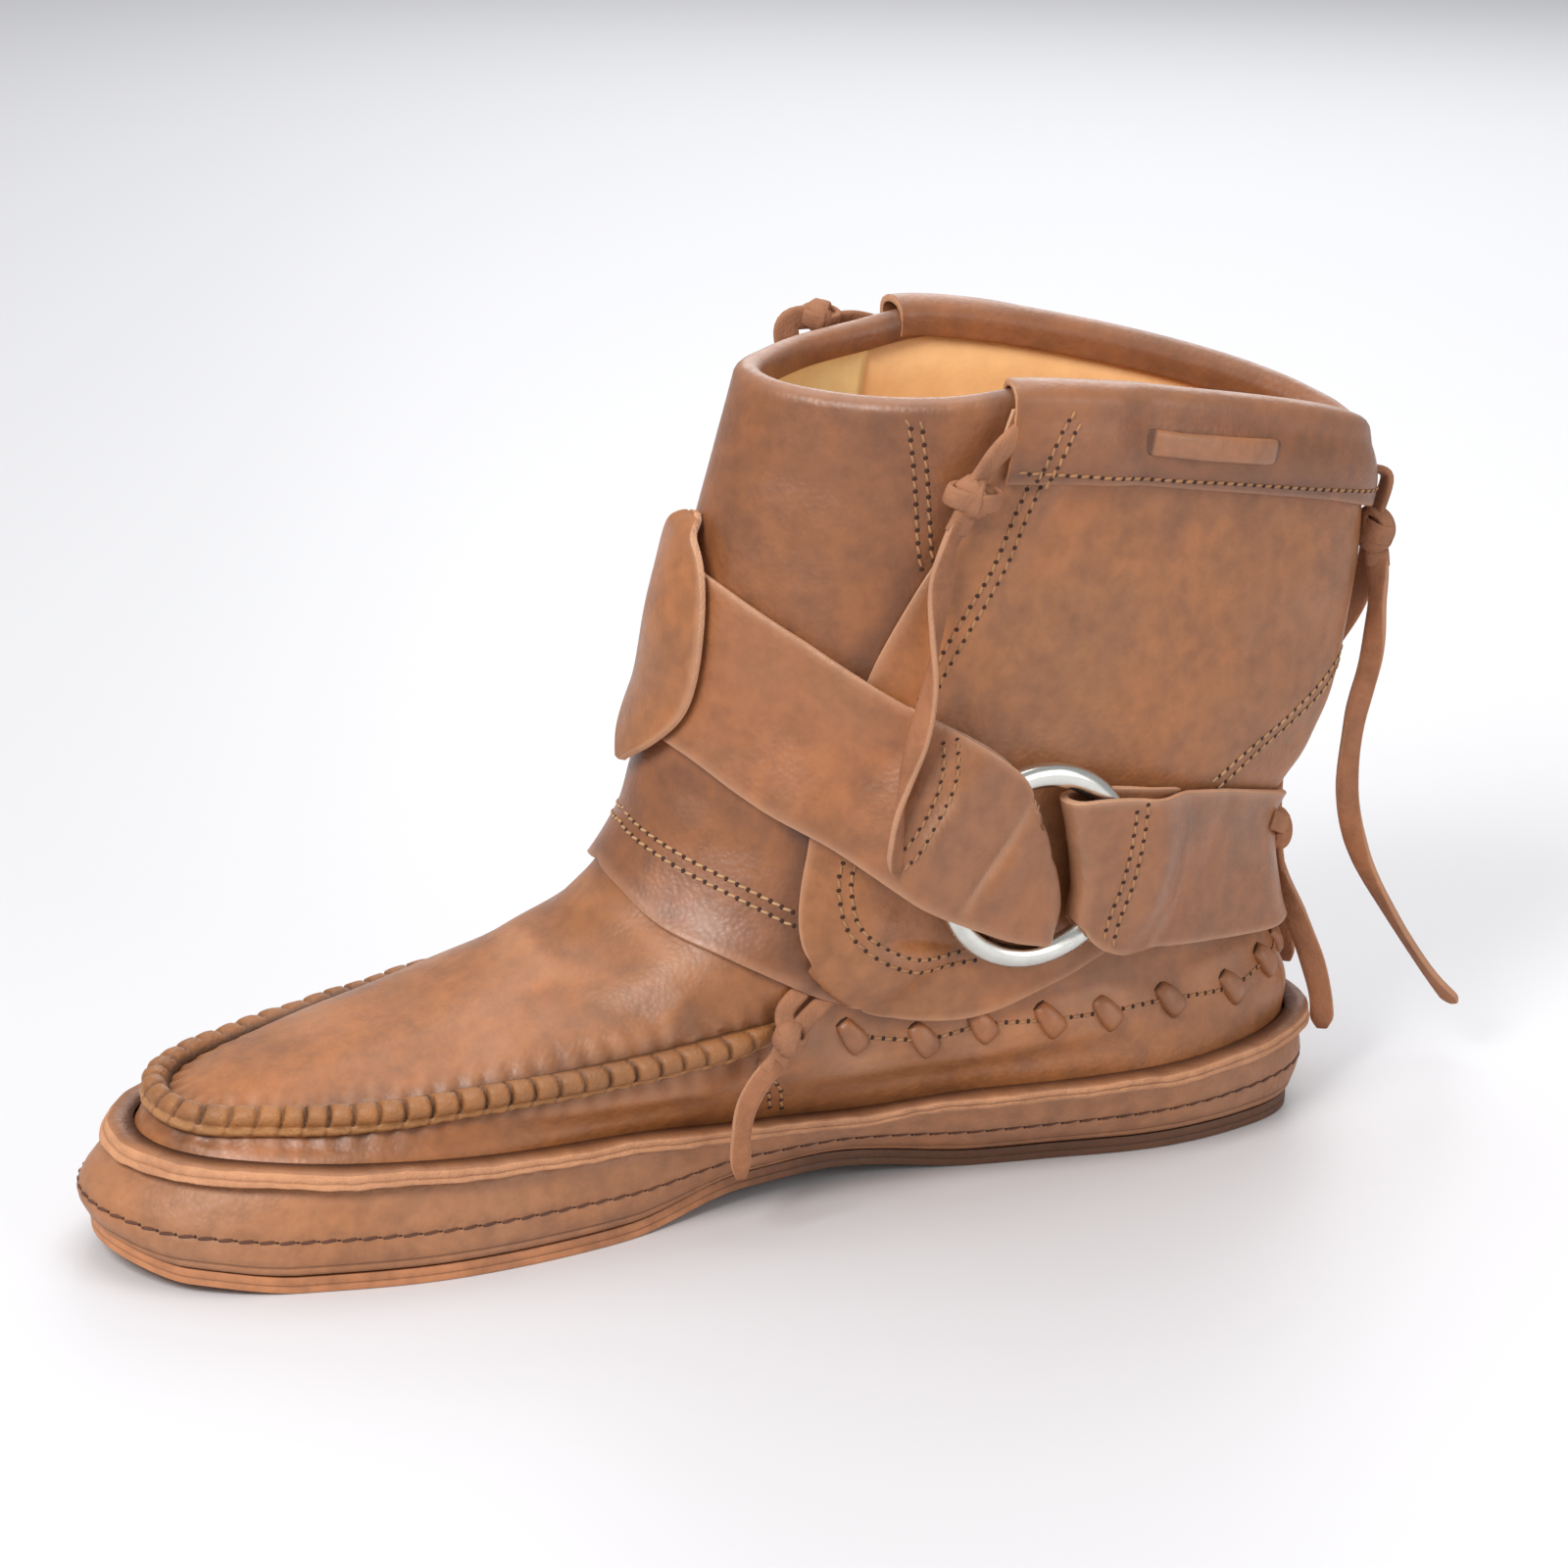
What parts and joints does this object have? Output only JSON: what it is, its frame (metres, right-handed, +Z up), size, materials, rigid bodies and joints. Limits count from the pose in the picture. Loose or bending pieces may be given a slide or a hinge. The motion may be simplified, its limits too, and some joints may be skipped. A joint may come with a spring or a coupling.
{
  "type": "leather ankle boot",
  "caption": "Moccasin ankle boot in tan leather with a puckered toe seam, ring harness straps round heel and instep, folded collar channel with tied laces, and a thin flat sole.",
  "frame": {"origin": "on the floor, under the middle of the boot's box without its hanging laces", "axes": "+Z up, -Y towards the toe, +X towards the medial side"},
  "size_m": [0.1027, 0.3153, 0.1792],
  "materials": {
    "tan_leather": "smooth tan leather, soft gloss",
    "raw_leather": "raw flesh side, matte",
    "sole_leather": "smooth edge, satin",
    "seam_cord": "waxed thong, satin",
    "nickel": "satin nickel"
  },
  "bodies": {
    "root": {"outsole": "sole_leather", "insole": "raw_leather", "upper": "tan_leather", "rand": "tan_leather", "rim": "raw_leather", "toe_seam": "seam_cord", "front_panel": "tan_leather", "quarter": "tan_leather", "cuff": "tan_leather", "ring_medial": "nickel", "ring_lateral": "nickel", "heel_strap_medial": "tan_leather", "heel_strap_lateral": "tan_leather", "front_strap": "tan_leather", "keeper": "tan_leather", "collar_lace_medial": "raw_leather", "collar_lace_lateral": "raw_leather", "back_lace_long": "raw_leather", "back_lace_short": "raw_leather", "back_knot": "raw_leather", "front_lace_medial": "raw_leather", "front_lace_lateral": "raw_leather", "front_knot_medial": "raw_leather", "front_knot_lateral": "raw_leather", "heel_lace_medial": "raw_leather", "heel_lace_lateral": "raw_leather", "heel_knot": "raw_leather", "side_lace_medial": "raw_leather", "side_lace_lateral": "raw_leather", "side_knot_medial": "raw_leather", "side_knot_lateral": "raw_leather"}
  },
  "joints": []
}
